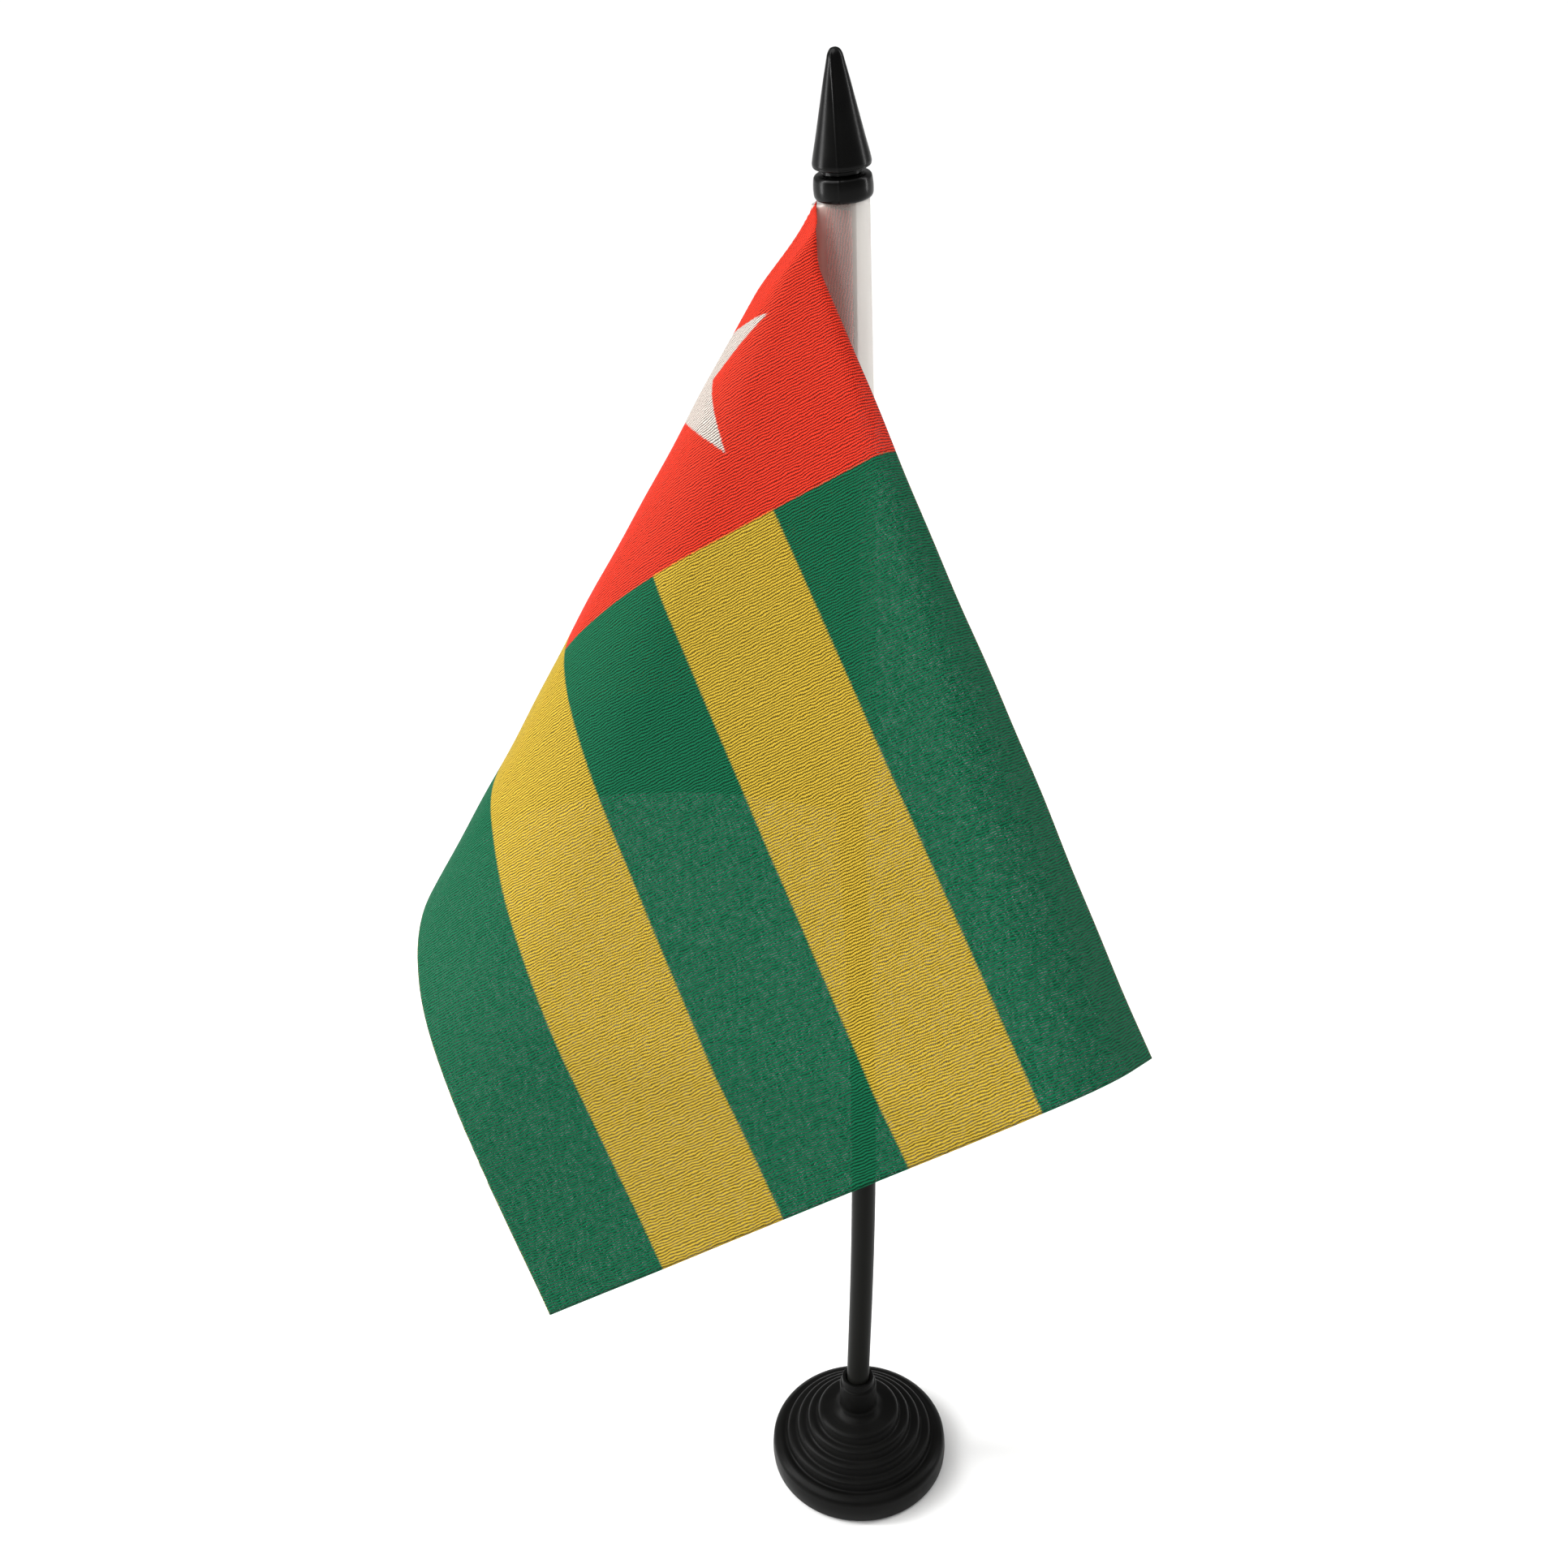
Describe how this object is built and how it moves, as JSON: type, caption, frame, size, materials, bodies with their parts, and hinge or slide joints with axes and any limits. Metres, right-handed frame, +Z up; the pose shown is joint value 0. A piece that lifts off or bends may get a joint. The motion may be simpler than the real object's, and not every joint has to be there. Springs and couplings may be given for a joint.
{
  "type": "desk flag stand",
  "caption": "Small desk flag on a thin black stick, held by a clear film pocket, with a pointed cap and a round stepped foot; the cloth is folded over in front.",
  "frame": {"origin": "centre of the foot's underside, on the stick's axis, where the stand rests on a desk", "axes": "+Z up the stick; the cloth leaves the stick towards -X and folds over in front of it, on the -Y side"},
  "size_m": [0.106, 0.1017, 0.2909],
  "materials": {
    "base_plastic": "moulded black polystyrene, satin",
    "pole_plastic": "drawn black plastic rod, satin",
    "finial_plastic": "moulded black plastic, gloss",
    "film": "clear heat-sealed film",
    "cloth": "thin printed polyester, striped with a plain square canton"
  },
  "bodies": {
    "base": {"base": "base_plastic"},
    "pole": {"pole": "pole_plastic"},
    "finial": {"finial": "finial_plastic"},
    "flag": {"sleeve": "film", "flag_cloth": "cloth"}
  },
  "joints": [
    {"name": "pole_lift", "type": "slide", "parent": "base", "child": "pole", "axis": [0, 0, 1], "range_m": [0, 0.018]},
    {"name": "finial_pull", "type": "slide", "parent": "pole", "child": "finial", "axis": [0, 0, 1], "range_m": [0, 0.012]},
    {"name": "flag_turn", "type": "hinge", "parent": "pole", "child": "flag", "pos_m": [0, 0, 0], "axis": [0, 0, 1], "continuous": true}
  ]
}
